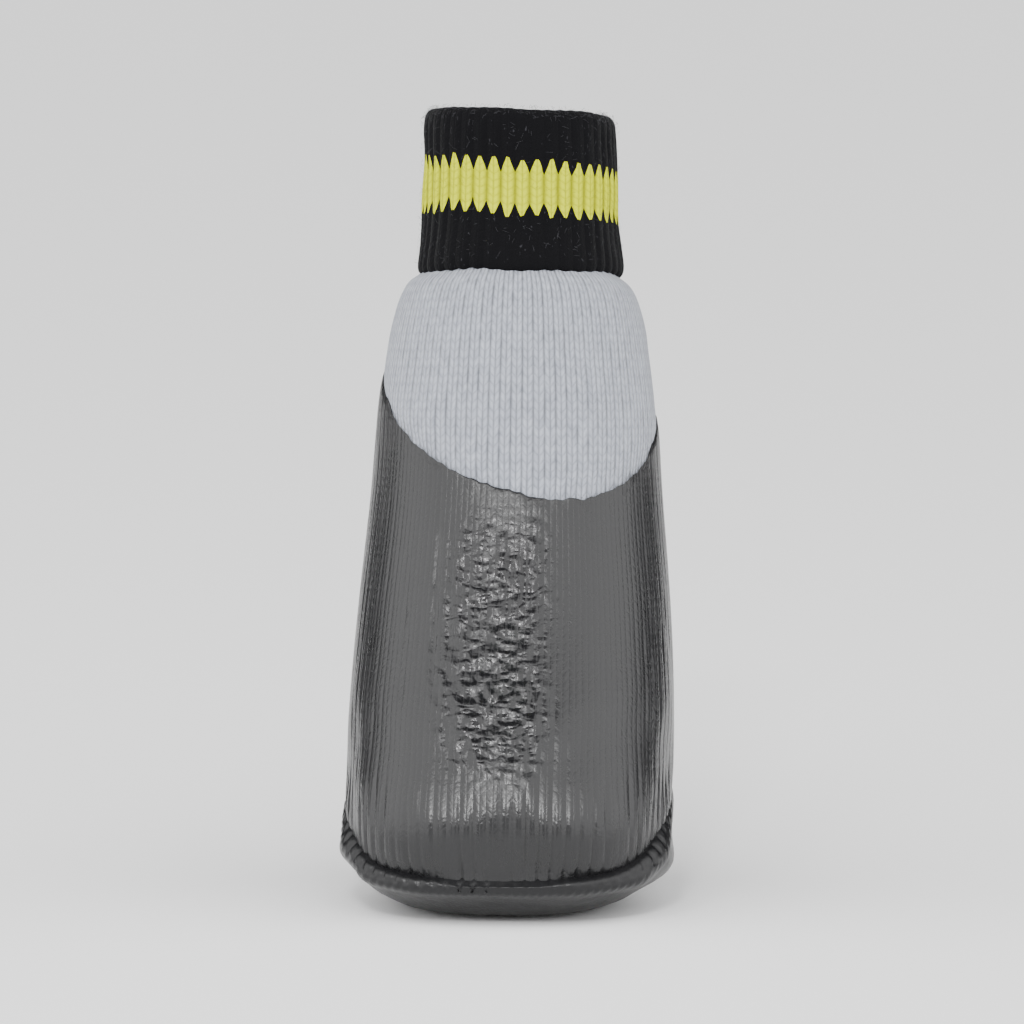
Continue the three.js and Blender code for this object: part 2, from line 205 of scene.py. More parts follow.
def shape(piece, rings, place, along, turns=WALES):
    """Puts each ring's vertices in place and unwraps them: U counts wales, V is millimetres."""
    mesh = piece.data
    where = {}
    for vertex in mesh.vertices:
        turn = math.atan2(vertex.co.x, -vertex.co.y)
        ring = round(vertex.co.z * (rings - 1))
        where[vertex.index] = (turn, ring)
        vertex.co = place(turn, ring)
    layer = mesh.uv_layers.active or mesh.uv_layers.new(name="knit")
    layer.name = "knit"
    for face in mesh.polygons:
        shares = [(where[mesh.loops[i].vertex_index][0] / math.tau + 0.5) % 1.0 for i in face.loop_indices]
        crosses = max(shares) - min(shares) > 0.5
        for i, share in zip(face.loop_indices, shares):
            turn, ring = where[mesh.loops[i].vertex_index]
            if crosses and share < 0.5:
                share += 1
            layer.data[i].uv = (share * turns, along(turn, ring) / MM)
    return [index for index, (_, ring) in where.items() if ring == 0]


# %% [markdown]
# ### Seating and closing
# A modifier is applied as soon as it is set, because the next step reads the mesh that it made.

# %% Seat, round and close
def finish_modifier(piece, kind, **settings):
    """Adds a modifier, sets it and applies it."""
    bpy.context.view_layer.objects.active = piece
    modifier = piece.modifiers.new(kind.lower(), kind)
    for name, value in settings.items():
        setattr(modifier, name, value)
    bpy.ops.object.modifier_apply(modifier=modifier.name)


def seat_on(piece, node):
    finish_modifier(piece, "SHRINKWRAP", target=NODES[node], wrap_method="NEAREST_SURFACEPOINT")


def rounded(piece, levels):
    finish_modifier(piece, "SUBSURF", levels=levels, render_levels=levels)


def close_ring(piece, ring):
    """Fills the hole inside a ring of vertices, given by their numbers."""
    deselect_all()
    bpy.context.view_layer.objects.active = piece
    bpy.ops.object.mode_set(mode="EDIT")
    bpy.ops.mesh.select_mode(type="VERT")
    bpy.ops.mesh.select_all(action="DESELECT")
    bpy.ops.object.mode_set(mode="OBJECT")
    for number in ring:
        piece.data.vertices[number].select = True
    bpy.ops.object.mode_set(mode="EDIT")
    bpy.ops.mesh.edge_face_add()
    bpy.ops.object.mode_set(mode="OBJECT")


def face_outward(piece):
    deselect_all()
    bpy.context.view_layer.objects.active = piece
    bpy.ops.object.mode_set(mode="EDIT")
    bpy.ops.mesh.select_all(action="SELECT")
    bpy.ops.mesh.normals_make_consistent(inside=False)
    bpy.ops.object.mode_set(mode="OBJECT")


# %% [markdown]
# ### Relief
# Folds, ribs and creases are a height over the surface, worked out for all vertices at once from
# their place and their wale. Sculpting would do it too, but a formula stays in millimetres.

# %% Relief, noise and finish
FULLER = 0.9 * MM
HALF_FOOT = 25 * MM


def relief(piece, height, lift=None, two_layers=False):
    """Moves each vertex along its normal by height(u, v, places) and upward by lift(u, v, places).

    In a piece of two layers the inner one moves the same way as the outer one."""
    mesh = piece.data
    count = len(mesh.vertices)
    places = np.empty(count * 3)
    normals = np.empty(count * 3)
    mesh.vertices.foreach_get("co", places)
    mesh.vertices.foreach_get("normal", normals)
    places, normals = places.reshape(-1, 3), normals.reshape(-1, 3)
    if two_layers:
        middle = np.interp(places[:, 2], OUTSIDE[:, 0], OUTSIDE[:, 4])
        inward = normals[:, 0] * places[:, 0] + normals[:, 1] * (places[:, 1] - middle) < 0
        normals[inward] *= -1
    corner = np.empty(len(mesh.loops), dtype=np.int32)
    mesh.loops.foreach_get("vertex_index", corner)
    flat = np.empty(len(mesh.loops) * 2)
    mesh.uv_layers["knit"].data.foreach_get("uv", flat)
    uv = np.zeros((count, 2))
    uv[corner] = flat.reshape(-1, 2)
    moved = places + normals * height(uv[:, 0], uv[:, 1], places)[:, None]
    if lift:
        moved[:, 2] += lift(uv[:, 0], uv[:, 1], places)
    mesh.vertices.foreach_set("co", moved.ravel())
    mesh.update()


def grain(places, across, along, seed=0.0):
    """Smooth noise at every place; across and along are the sizes of a blotch in mm."""
    scale = (1 / (across * MM), 1 / (across * MM), 1 / (along * MM))
    return np.array([noise.noise(Vector((p[0] * scale[0] + seed, p[1] * scale[1], p[2] * scale[2])))
                     for p in places])


def fade(values, low, high):
    """0 at one limit and 1 at the other, eased at both ends."""
    share = np.clip((values - low) / (high - low), 0, 1)
    return share * share * (3 - 2 * share)


def fuller_sides(places):
    """The worn-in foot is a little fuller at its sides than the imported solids."""
    sideways = (places[:, 0] / HALF_FOOT) ** 2
    z = places[:, 2] / MM
    return FULLER * np.clip(sideways, 0, 1) * fade(z, 1, 10) * fade(z, 99, 88)


def dress(piece, material):
    """Shades a piece smooth and gives it its one material."""
    deselect_all()
    piece.select_set(True)
    bpy.context.view_layer.objects.active = piece
    bpy.ops.object.shade_smooth()
    piece.data.materials.clear()
    piece.data.materials.append(material)


# %% [markdown]
# ## Where the rows end
# The first dip was made with the foot hung in the bath, so its edge is one slanted plane. The
# second dip's edge climbs from the toe seam to the sides. For each turn round the boot the row
# that lies on the edge is found by halving.

# %% Rows on the rubber line and on the sole's line
LEG_LOW, LEG_HIGH = 40 * MM, 94 * MM  # the rubber line lies between these levels
HALVINGS = 24
DIP_STEPS = 145


def find_dip_level(turn):
    low, high = LEG_LOW, LEG_HIGH
    for _ in range(HALVINGS):
        middle = (low + high) / 2
        point = on_form(OUTSIDE, turn, middle)
        if point.z < DIP_LEVEL + DIP_ROLL * point.x + DIP_RISE * point.y:
            low = middle
        else:
            high = middle
    return low


DIP_TURNS = np.linspace(-math.pi, math.pi, DIP_STEPS)
DIP_LEVELS = np.array([find_dip_level(turn) for turn in DIP_TURNS])


def level_on_dip(turn):
    """Level of the rubber line at a turn round the leg."""
    return float(np.interp(turn, DIP_TURNS, DIP_LEVELS))


sole_edge = top_edge("rubber_sole", FOOT_Y)
edge_turns = np.arctan2(sole_edge[:, 0], -(sole_edge[:, 1] - FOOT_Y))
edge_order = np.argsort(edge_turns)
EDGE_TURNS, EDGE_LEVELS = edge_turns[edge_order], sole_edge[edge_order][:, 2]


def level_on_sole(turn):
    """Level of the sole's upper edge at a turn round the foot."""
    return float(np.interp(turn, EDGE_TURNS, EDGE_LEVELS, period=math.tau))


print("rubber line at the front and back, mm:",
      round(on_form(OUTSIDE, 0, level_on_dip(0)).z / MM, 1),
      round(on_form(OUTSIDE, math.pi, level_on_dip(math.pi)).z / MM, 1))

# %% [markdown]
# ## Materials
# Four finishes: a grey jersey knit, a black and yellow one by one rib, and natural latex dip in two
# thicknesses. Every pattern is drawn from the piece's own unwrap, in wales and millimetres.

# %% Colour and node helpers
SHARE, FIRST, SECOND = 0, 6, 7  # a Mix node's inputs for a share and two colours
MIXED = 2  # and its output for the mixed colour


def linear(code):
    """An sRGB hex colour as linear values."""
    parts = [int(code[i:i + 2], 16) / 255 for i in (1, 3, 5)]
    return tuple(c / 12.92 if c <= 0.04045 else ((c + 0.055) / 1.055) ** 2.4 for c in parts) + (1,)


def add(tree, kind, inputs=(), output=0, **settings):
    """Adds a node and gives one of its outputs; inputs are values or sockets, in order or by name."""
    node = tree.nodes.new("ShaderNode" + kind)
    for name, value in settings.items():
        setattr(node, name, value)
    for key, value in inputs.items() if isinstance(inputs, dict) else enumerate(inputs):
        if isinstance(value, bpy.types.NodeSocket):
            tree.links.new(value, node.inputs[key])
        else:
            node.inputs[key].default_value = value
    return node.outputs[output]


def new_material(name):
    """A material with nothing but its shader, with its node tree."""
    material = bpy.data.materials.new(name)
    material.use_nodes = True
    tree = material.node_tree
    tree.nodes.clear()
    surface = add(tree, "BsdfPrincipled")
    result = tree.nodes.new("ShaderNodeOutputMaterial")
    tree.links.new(surface, result.inputs["Surface"])
    return material, tree, surface.node


# %% [markdown]
# ### What the patterns are made of
# Knit repeats across and along, so it is worked out from the unwrap: the fraction of the wale
# number says where in a stitch a place is. Dust, dye and handling don't repeat, so they are noise,
# with the size of a blotch given in millimetres.

# %% Unwrap, noise and stitches
def unwrap(tree):
    """Wale number and millimetres along the piece."""
    coordinates = add(tree, "UVMap", uv_map="knit")
    parts = add(tree, "SeparateXYZ", (coordinates,)).node.outputs
    return parts["X"], parts["Y"]


def speckle(tree, size_mm, detail=2.0, stretch=(1, 1, 1)):
    """Noise in object space; size_mm is the size of one blotch."""
    place = add(tree, "TexCoord", output="Object")
    scaled = add(tree, "Mapping", {"Vector": place, "Scale": stretch})
    return add(tree, "TexNoise", {"Vector": scaled, "Scale": 1 / (size_mm * MM), "Detail": detail})


def from_middle(tree, count):
    """0 in the middle of each wale, rib or course and 1 at its edges."""
    share = add(tree, "Math", (count,), operation="FRACT")
    signed = add(tree, "Math", (share, 2.0, -1.0), operation="MULTIPLY_ADD")
    return add(tree, "Math", (signed,), operation="ABSOLUTE")


def stitches(tree, wale, course):
    """Height of plain knit: each wale is a stack of Vs made by two slanted legs of yarn."""
    across = from_middle(tree, wale)
    leg = add(tree, "Math", (across, 2.0, -1.0), operation="MULTIPLY_ADD")
    leg = add(tree, "Math", (leg, leg), operation="MULTIPLY")
    leg = add(tree, "Math", (1.0, leg), operation="SUBTRACT")
    yarn = add(tree, "Math", (leg, 0.0), operation="MAXIMUM")
    yarn = add(tree, "Math", (yarn, 0.5), operation="POWER")
    slanted = add(tree, "Math", (across, -0.6, course), operation="MULTIPLY_ADD")
    loop = add(tree, "Math", (from_middle(tree, slanted), 3.0), operation="POWER")
    loop = add(tree, "Math", (1.0, loop), operation="SUBTRACT")
    loop = add(tree, "Math", (loop, 0.45, 0.55), operation="MULTIPLY_ADD")
    return add(tree, "Math", (yarn, loop), operation="MULTIPLY")


# %% [markdown]
# ### Grey jersey knit
# Cotton and polyester yarn, matte, a little fuzzy. The wales are 1.9 mm apart and a course is
# 1.4 mm tall. The yarn is painted darker in the stitch valleys and broken dark lines run in the
# gaps between the wales, both painted shade; the dye is slightly uneven.

# %% Grey jersey knit
COURSE_MM = 1.4
WORN_SHARE = 0.4  # how much of the colour is uneven dye


def grey_jersey():
    material, tree, shader = new_material("grey_jersey_knit")
    wale, along = unwrap(tree)
    height = stitches(tree, wale, add(tree, "Math", (along, COURSE_MM), operation="DIVIDE"))
    # painted shade: broken dark lines in the gaps between the wales
    gap = add(tree, "Math", (from_middle(tree, wale), 5.0), operation="POWER")
    broken = speckle(tree, 1.3, 2.0, (1, 1, 0.25))
    broken = add(tree, "Math", (broken, 3.6, -1.0), operation="MULTIPLY_ADD")
    line = add(tree, "Math", (gap, broken), operation="MULTIPLY")
    line = add(tree, "Math", (line, 0.0), operation="MAXIMUM")
    clear = add(tree, "Math", (1.0, line), operation="SUBTRACT")
    # painted shade: the yarn's colour darkens with the stitch height, darkest in the valleys
    yarn = add(tree, "Math", (height, 0.75, 0.25), operation="MULTIPLY_ADD")
    yarn = add(tree, "Math", (yarn, clear), operation="MULTIPLY")
    knit_with_painted_shade = add(tree, "Mix", {SHARE: yarn, FIRST: linear("#23272d"), SECOND: linear("#9498a3")}, MIXED,
                data_type="RGBA")
    patchy = speckle(tree, 1.0, 3.0, (1, 1, 0.5))
    worn = add(tree, "Mix", {SHARE: patchy, FIRST: linear("#4c515a"), SECOND: linear("#c6cad3")}, MIXED,
               data_type="RGBA")
    colour = add(tree, "Mix", {SHARE: WORN_SHARE, FIRST: knit_with_painted_shade, SECOND: worn}, MIXED, data_type="RGBA")
    tree.links.new(colour, shader.inputs["Base Color"])
    fuzz = add(tree, "Math", (speckle(tree, 0.35, 4.0), 0.35, height), operation="MULTIPLY_ADD")
    bump = add(tree, "Bump", {"Height": fuzz, "Strength": 0.8, "Distance": 0.35 * MM})
    tree.links.new(bump, shader.inputs["Normal"])
    shader.inputs["Roughness"].default_value = 0.92
    shader.inputs["Specular IOR Level"].default_value = 0.2
    shader.inputs["Sheen Weight"].default_value = 0.25
    shader.inputs["Sheen Roughness"].default_value = 0.5
    return material


GREY_JERSEY = grey_jersey()
print("knit drawn with", len(GREY_JERSEY.node_tree.nodes), "nodes")

# %% [markdown]
# ### Black and yellow rib
# Soft acrylic rib, knitted double. The yellow band changes over inside each rib, which gives its
# edge one tooth a rib. Fine grey lint clings to the black yarn. The band is drawn as two limits on
# the height, each pushed outward in the middle of a rib. The yellow has painted shade in the valleys.

# %% The band on the rib
RIBS = 42
RIB_COURSE_MM = 1.25
BAND_LOW_MM = 8.3  # above the cuff's lower edge
BAND_HIGH_MM = 17.7
TOOTH_MM = 2.3
TOOTH_POINT = 1.25  # above 1 the tooth's tip is a little blunt
BAND_WOBBLE_MM = 1.6
BAND_SLANT = 0.04  # the band drops this much more than the rim, per mm across


def yellow_band(tree, across, along):
    """1 on the band and 0 off it."""
    place = add(tree, "TexCoord", output="Object")
    sideways = add(tree, "SeparateXYZ", (place,), "X")
    wobble = add(tree, "Math", (speckle(tree, 2.5, 1.0), 0.5), operation="SUBTRACT")
    height = add(tree, "Math", (wobble, BAND_WOBBLE_MM, along), operation="MULTIPLY_ADD")
    height = add(tree, "Math", (sideways, BAND_SLANT / MM, height), operation="MULTIPLY_ADD")
    tooth = add(tree, "Math", (across, -TOOTH_POINT, TOOTH_POINT), operation="MULTIPLY_ADD")
    tooth = add(tree, "Math", (tooth, 1.0), operation="MINIMUM")
    tooth = add(tree, "Math", (tooth, TOOTH_MM), operation="MULTIPLY")
    low = add(tree, "Math", (BAND_LOW_MM + TOOTH_MM, tooth), operation="SUBTRACT")
    high = add(tree, "Math", (BAND_HIGH_MM - TOOTH_MM, tooth), operation="ADD")
    above = add(tree, "Math", (height, low), operation="GREATER_THAN")
    below = add(tree, "Math", (height, high), operation="LESS_THAN")
    return add(tree, "Math", (above, below), operation="MULTIPLY")


# %% Black and yellow rib
def striped_rib():
    material, tree, shader = new_material("acrylic_one_by_one_rib")
    rib, along = unwrap(tree)
    across = from_middle(tree, rib)
    loops = stitches(tree, rib, add(tree, "Math", (along, RIB_COURSE_MM), operation="DIVIDE"))
    # painted shade: the yellow is painted darker in the valleys between the ribs and between the loops
    valley = add(tree, "Math", (across, 2.0), operation="POWER")
    ridge = add(tree, "Math", (1.0, valley), operation="SUBTRACT")
    yarn = add(tree, "Math", (loops, 0.85, 0.15), operation="MULTIPLY_ADD")
    ridge = add(tree, "Math", (ridge, yarn), operation="MULTIPLY")
    lint = speckle(tree, 0.5, 5.0, (1, 1, 0.5))
    lint = add(tree, "Math", (lint, 0.69), operation="GREATER_THAN")
    lint = add(tree, "Math", (lint, 0.5), operation="MULTIPLY")
    black = add(tree, "Mix", {SHARE: lint, FIRST: linear("#0a0a0c"), SECOND: linear("#3a3a3e")}, MIXED,
                data_type="RGBA")
    yellow_with_painted_shade = add(tree, "Mix", {SHARE: ridge, FIRST: linear("#6c6e00"), SECOND: linear("#c2c900")}, MIXED,
                 data_type="RGBA")
    pale = add(tree, "Math", (speckle(tree, 0.9, 3.0), 0.3), operation="MULTIPLY")
    yellow_with_painted_shade = add(tree, "Mix", {SHARE: pale, FIRST: yellow_with_painted_shade, SECOND: linear("#ccd400")}, MIXED,
                 data_type="RGBA")
    band = yellow_band(tree, across, along)
    colour = add(tree, "Mix", {SHARE: band, FIRST: black, SECOND: yellow_with_painted_shade}, MIXED, data_type="RGBA")
    tree.links.new(colour, shader.inputs["Base Color"])
    relief_of_loops = add(tree, "Math", (loops, 0.6), operation="MULTIPLY")
    fuzz = add(tree, "Math", (speckle(tree, 0.3, 5.0), 0.8, relief_of_loops), operation="MULTIPLY_ADD")
    bump = add(tree, "Bump", {"Height": fuzz, "Strength": 0.6, "Distance": 0.3 * MM})
    tree.links.new(bump, shader.inputs["Normal"])
    shader.inputs["Roughness"].default_value = 0.95
    shader.inputs["Specular IOR Level"].default_value = 0.08
    shader.inputs["Sheen Weight"].default_value = 0.03
    shader.inputs["Sheen Roughness"].default_value = 0.45
    return material


STRIPED_RIB = striped_rib()
print("rib drawn with", len(STRIPED_RIB.node_tree.nodes), "nodes")

# %% [markdown]
# ### Latex dip
# Black natural latex dried on the knit: satin, with the gloss broken up by the stitches under it,
# by dust and by handling. The sole has had a second dip, so its surface is smoother. Where the
# instep is crumpled the skin is crackled and glossier, so a mask keeps that look to its place.

# %% Where the instep is crumpled
INSTEP_BACK = 2 * MM  # the mask ends here, toward the heel
INSTEP_X = {"middle": -1.5, "full": 6, "end": 11}  # in mm: where the mask starts to fade and ends
INSTEP_Z = {"middle": 43, "full": 15, "end": 22}


def instep_mask(tree):
    """1 on the crumpled middle of the instep, 0 elsewhere."""
    x, y, z = add(tree, "SeparateXYZ", (add(tree, "TexCoord", output="Object"),)).node.outputs
    mask = add(tree, "Math", (y, INSTEP_BACK), operation="LESS_THAN")
    for place, limits in ((x, INSTEP_X), (z, INSTEP_Z)):
        away = add(tree, "Math", (place, limits["middle"] * MM), operation="SUBTRACT")
        away = add(tree, "Math", (away,), operation="ABSOLUTE")
        inside = add(tree, "MapRange", {"Value": away, "From Min": limits["full"] * MM,
                                        "From Max": limits["end"] * MM, "To Min": 1.0, "To Max": 0.0})
        mask = add(tree, "Math", (mask, inside), operation="MULTIPLY")
    return mask


# %% Latex dip, thin and thick
LATEX_BLACK = "#0b0b0c"
INSTEP_GLOSS = 0.08  # how much smoother the crumpled skin is
CRACKLE = 11.0  # height of the crackle beside the pores


def latex(name, light, roughness, knit_show, index, crumpled):
    material, tree, shader = new_material(name)
    wale, along = unwrap(tree)
    cloud = speckle(tree, 9.0, 4.0)
    streak = speckle(tree, 1.3, 3.0, (1, 1, 0.12))
    tint = add(tree, "Math", (cloud, 0.5), operation="MULTIPLY")
    tint = add(tree, "Math", (streak, 0.5, tint), operation="MULTIPLY_ADD")
    colour = add(tree, "Mix", {SHARE: tint, FIRST: linear(LATEX_BLACK), SECOND: linear(light)}, MIXED,
                 data_type="RGBA")
    tree.links.new(colour, shader.inputs["Base Color"])
    low, high = roughness
    rough = add(tree, "Math", (cloud, 0.4), operation="MULTIPLY")
    rough = add(tree, "Math", (streak, 0.6, rough), operation="MULTIPLY_ADD")
    rough = add(tree, "Math", (rough, high - low, low), operation="MULTIPLY_ADD")
    loops = stitches(tree, wale, add(tree, "Math", (along, COURSE_MM), operation="DIVIDE"))
    pores = add(tree, "Math", (loops, knit_show, speckle(tree, 0.45, 4.0)), operation="MULTIPLY_ADD")
    if crumpled:
        instep = instep_mask(tree)
        gloss = add(tree, "Math", (instep, INSTEP_GLOSS), operation="MULTIPLY")
        rough = add(tree, "Math", (rough, gloss), operation="SUBTRACT")
        crackle = speckle(tree, 2.4, 1.0, (0.75, 1, 1.5))
        crackle = add(tree, "Math", (crackle, 0.5), operation="SUBTRACT")
        crackle = add(tree, "Math", (crackle,), operation="ABSOLUTE")
        crackle = add(tree, "Math", (crackle, instep), operation="MULTIPLY")
        pores = add(tree, "Math", (crackle, CRACKLE, pores), operation="MULTIPLY_ADD")
    tree.links.new(rough, shader.inputs["Roughness"])
    bump = add(tree, "Bump", {"Height": pores, "Strength": 0.4, "Distance": 0.14 * MM})
    tree.links.new(bump, shader.inputs["Normal"])
    shader.inputs["IOR"].default_value = index
    return material


THIN_LATEX = latex("latex_first_dip", "#161618", (0.2, 0.36), 0.8, 1.48, True)
THICK_LATEX = latex("latex_second_dip", "#131315", (0.26, 0.4), 0.15, 1.38, False)
print("materials:", len(bpy.data.materials))

# %% [markdown]
# ## Knit body
# The body is one closed-toe tube. Above the rubber line it bulges out from under the cuff, and below
# it the rubber has pressed the yarn thinner. The inside shows through the collar, so the body gets a
# wall, as thick as the pressed yarn, which goes all the way down to the toe.

# %% Rows of the knit body
CUFF_HEIGHT = 26.3 * MM
CUFF_BASE = RIM_LEVEL - CUFF_HEIGHT  # level of the cuff's lower edge, on the tipped planes
NECK_HEIGHTS = (-9, -6, -4, -2.5, -1.4, -0.8, 0.6, 3.5, 6.3)
NECK = measured(["knit_body"], [CUFF_BASE + v * MM for v in NECK_HEIGHTS], slope=CUFF_SLOPE)
BARE_SHARES = (0.0, 0.1, 0.25, 0.42, 0.6, 0.76, 0.88, 0.96)
NECK_LEVELS = [CUFF_BASE + v * MM for v in (-0.8, 0.6, 3.5, 6.3)]
HIDDEN_SHARES = (0.0, 0.2, 0.4, 0.6, 0.8, 0.97)
UNDER_LEVELS = [v * MM for v in (0.2, 1.5, 4, 8)]
UNDER_REACH = 0.35  # how far out the lowest ring lies, round the middle of the foot
HIDDEN_LOW = 12 * MM
BELOW_LINE, ABOVE_LINE = 0.9 * MM, 0.5 * MM  # a row on each side of the rubber line
FOOT_MIDDLE_Y = FOOT_Y - 5 * MM
NECK_SQUARENESS = 2.1
KNIT_WALL = 1.1 * MM


def body_level(turn, ring):
    """Rings from the middle of the underside up to the neck inside the cuff."""
    under = len(UNDER_LEVELS) + 1
    if ring < under:
        return UNDER_LEVELS[max(ring - 1, 0)]
    edge = level_on_dip(turn)
    ring -= under
    if ring < len(HIDDEN_SHARES):
        return HIDDEN_LOW + (edge - BELOW_LINE - HIDDEN_LOW) * HIDDEN_SHARES[ring] / HIDDEN_SHARES[-1]
    ring -= len(HIDDEN_SHARES)
    if ring < len(BARE_SHARES):
        return edge + ABOVE_LINE + (NECK_LEVELS[0] - edge - ABOVE_LINE) * BARE_SHARES[ring]
    return NECK_LEVELS[ring - len(BARE_SHARES)]


def body_point(turn, ring):
    level = body_level(turn, ring)
    if ring == 0:
        middle = Vector((0, FOOT_MIDDLE_Y, level))
        return middle + (on_form(OUTSIDE, turn, level) - middle) * UNDER_REACH
    if level > CUFF_BASE - 6 * MM:
        return on_form(NECK, turn, level, 0.4 * MM, NECK_SQUARENESS)
    return on_form(OUTSIDE, turn, level, 0.6 * MM)


# %% [markdown]
# ### From rows to the knitted body
# The tube's rings go to their rows, Shrinkwrap seats them, the lowest ring is closed, and two
# subdivisions round the form before it gets its slack folds and its wall.

# %% Knit body
BODY_RINGS = len(UNDER_LEVELS) + 1 + len(HIDDEN_SHARES) + len(BARE_SHARES) + len(NECK_LEVELS)
body = tube("knit_body_visual", COLUMNS, BODY_RINGS)
lowest = shape(body, BODY_RINGS, body_point, body_level)
seat_on(body, "knit_body")
close_ring(body, lowest)
rounded(body, 2)
face_outward(body)
print("knit body faces:", len(body.data.polygons))


def body_relief(u, v, places):
    """Soft slack folds of the bare knit, fading out under the rubber."""
    line = DIP_LEVEL + DIP_ROLL * places[:, 0] + DIP_RISE * places[:, 1]
    bare = np.clip((places[:, 2] - line) / (3 * MM), 0, 1)
    return bare * grain(places, 11, 11) * 0.35 * MM + fuller_sides(places)


relief(body, body_relief)
finish_modifier(body, "SOLIDIFY", thickness=KNIT_WALL, offset=-1)
dress(body, GREY_JERSEY)
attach(body, "root")
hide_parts("knit_body")

# %% [markdown]
# ## Ribbed cuff
# The rib is knitted twice as long and turned in, so its top edge is a thick soft roll and the wall
# is two layers. The ridges are real: one column of the cage for each rib.

# %% The cuff's wall
CUFF_HEIGHTS = (0.5, 2, 4, 6.5, 9, 12, 16, 20, 24, 25.6)
CUFF = measured(["ribbed_cuff"], [CUFF_BASE + v * MM for v in CUFF_HEIGHTS], slope=CUFF_SLOPE)
# the cuff's own sizes, in mm: height, both layers of rib, the outer layer, and the neck inside it
CUFF_TOP = 26.2
WALL = 3.2
LAP = 1.4
NECK_TOP = 7.3
ROLL = WALL / 2
ROLL_STEP = 36  # degrees
CUFF_ROLL = 0.04  # the rim drops this much to one side, per mm across
# height above the lower edge and depth under the outside, in mm, once round the wall
CUFF_WALL_PATH = [(-0.6, LAP), (-1.0, 0.7), (-0.3, 0), (1.6, -0.1)]
CUFF_WALL_PATH += [(height, 0) for height in (5, 8.5, 12.5, 16.5, 20.5)]
for degrees in range(0, 181, ROLL_STEP):
    roll_turn = math.radians(degrees)
    CUFF_WALL_PATH.append(
        (CUFF_TOP - ROLL + ROLL * math.sin(roll_turn), ROLL - ROLL * math.cos(roll_turn)))
CUFF_WALL_PATH += [(height, WALL) for height in (20, 14, NECK_TOP + 1)]
CUFF_WALL_PATH += [(NECK_TOP, WALL - 0.5), (NECK_TOP, LAP + 0.3), (4, LAP)]
CUFF_RINGS = len(CUFF_WALL_PATH)


def cuff_point(turn, ring):
    height, depth = CUFF_WALL_PATH[ring]
    point = on_form(CUFF, turn, CUFF_BASE + height * MM, -depth * MM, NECK_SQUARENESS)
    point.z -= CUFF_ROLL * point.x * height / CUFF_TOP
    return point


def cuff_along(turn, ring):
    """Height on the outside; past the roll it goes on counting, so the band isn't repeated inside."""
    height, depth = CUFF_WALL_PATH[ring]
    return (2 * CUFF_TOP - height if depth > ROLL else height) * MM


# %% [markdown]
# ### From the wall to the cuff
# The rings go once round the wall, so the first and the last are neighbours, and a bridge between
# them closes it. The ribs are lifted after the rounding, or it would flatten them again.

# %% Ribbed cuff
cuff = tube("ribbed_cuff_visual", RIBS, CUFF_RINGS)
shape(cuff, CUFF_RINGS, cuff_point, cuff_along, RIBS)
deselect_all()
bpy.context.view_layer.objects.active = cuff
bpy.ops.object.mode_set(mode="EDIT")
bpy.ops.mesh.select_all(action="DESELECT")
bpy.ops.mesh.select_non_manifold(extend=False, use_boundary=True)
bpy.ops.mesh.bridge_edge_loops()
bpy.ops.object.mode_set(mode="OBJECT")
rounded(cuff, 3)
face_outward(cuff)


def cuff_relief(u, v, places):
    """Ridges and valleys of the rib, softer over the roll, with a little slack."""
    ridge = -np.cos(u * math.tau)
    roll = np.clip(np.abs(v - CUFF_TOP) / 4, 0.3, 1)
    pull = 0.75 + 0.5 * grain(places, 5, 9)
    return (ridge * 0.17 * roll * pull + grain(places, 9, 9) * 0.5) * MM


def cuff_lift(u, v, places):
    """The lower edge and the rim are never quite level."""
    return grain(places, 8, 200, 3.0) * 0.5 * MM


relief(cuff, cuff_relief, cuff_lift)
dress(cuff, STRIPED_RIB)
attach(cuff, "root")
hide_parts("ribbed_cuff")
print("cuff faces:", len(cuff.data.polygons))

# %% [markdown]
# ### Lint on the cuff
# Brushed acrylic yarn sheds short fibres, which give the black rib its soft grey outline. Nobody
# models fibres one by one: each is the same bent thread of three sides, thrown at a random place on
# the outside of the cuff, denser along the rim. Plain data builds them faster than operators do.

# %% Lint
LINT_COUNT = 1400
LINT_THICK = 0.014 * MM
ON_RIM_SHARE = 0.45


def lint_fibre(root, outward, lie, length):
    """Points of a thread that leaves the cuff and bends over: four rings of three."""
    points = []
    side = outward.cross(lie).normalized()
    for step in range(4):
        share = step / 3
        middle = root + outward * length * math.sin(share * 1.5) * 0.55 + lie * length * share
        for corner in range(3):
            swing = corner * math.tau / 3
            points.append(middle + (side * math.cos(swing) + outward * math.sin(swing)) * LINT_THICK)
    return points


random.seed(7)
lint_points, lint_faces = [], []
for _ in range(LINT_COUNT):
    turn = random.uniform(-math.pi, math.pi)
    over = random.uniform(0, 2.2) if random.random() < ON_RIM_SHARE else 0
    height = CUFF_TOP - ROLL * (1 - math.sin(over)) if over else random.uniform(1, CUFF_TOP - ROLL)
    depth = ROLL * (1 - math.cos(over))
    root = on_form(CUFF, turn, CUFF_BASE + height * MM, -depth * MM, NECK_SQUARENESS)
    root.z -= CUFF_ROLL * root.x * height / CUFF_TOP
    outward = Vector((math.sin(turn) * math.cos(over), -math.cos(turn) * math.cos(over), math.sin(over)))
    lie = Vector([random.gauss(0, 1) for _ in range(3)])
    lie = (lie - outward * lie.dot(outward)).normalized()
    first = len(lint_points)
    lint_points += lint_fibre(root, outward, lie, random.uniform(0.4, 1.1) * MM)
    for ring in range(3):
        for corner in range(3):
            a, b = first + ring * 3 + corner, first + ring * 3 + (corner + 1) % 3
            lint_faces.append((a, b, b + 3, a + 3))
lint_mesh = bpy.data.meshes.new("cuff_lint")
lint_mesh.from_pydata(lint_points, [], lint_faces)
lint = bpy.data.objects.new("cuff_lint", lint_mesh)
bpy.context.scene.collection.objects.link(lint)
lint_material, _, lint_shader = new_material("loose_acrylic_fibre")
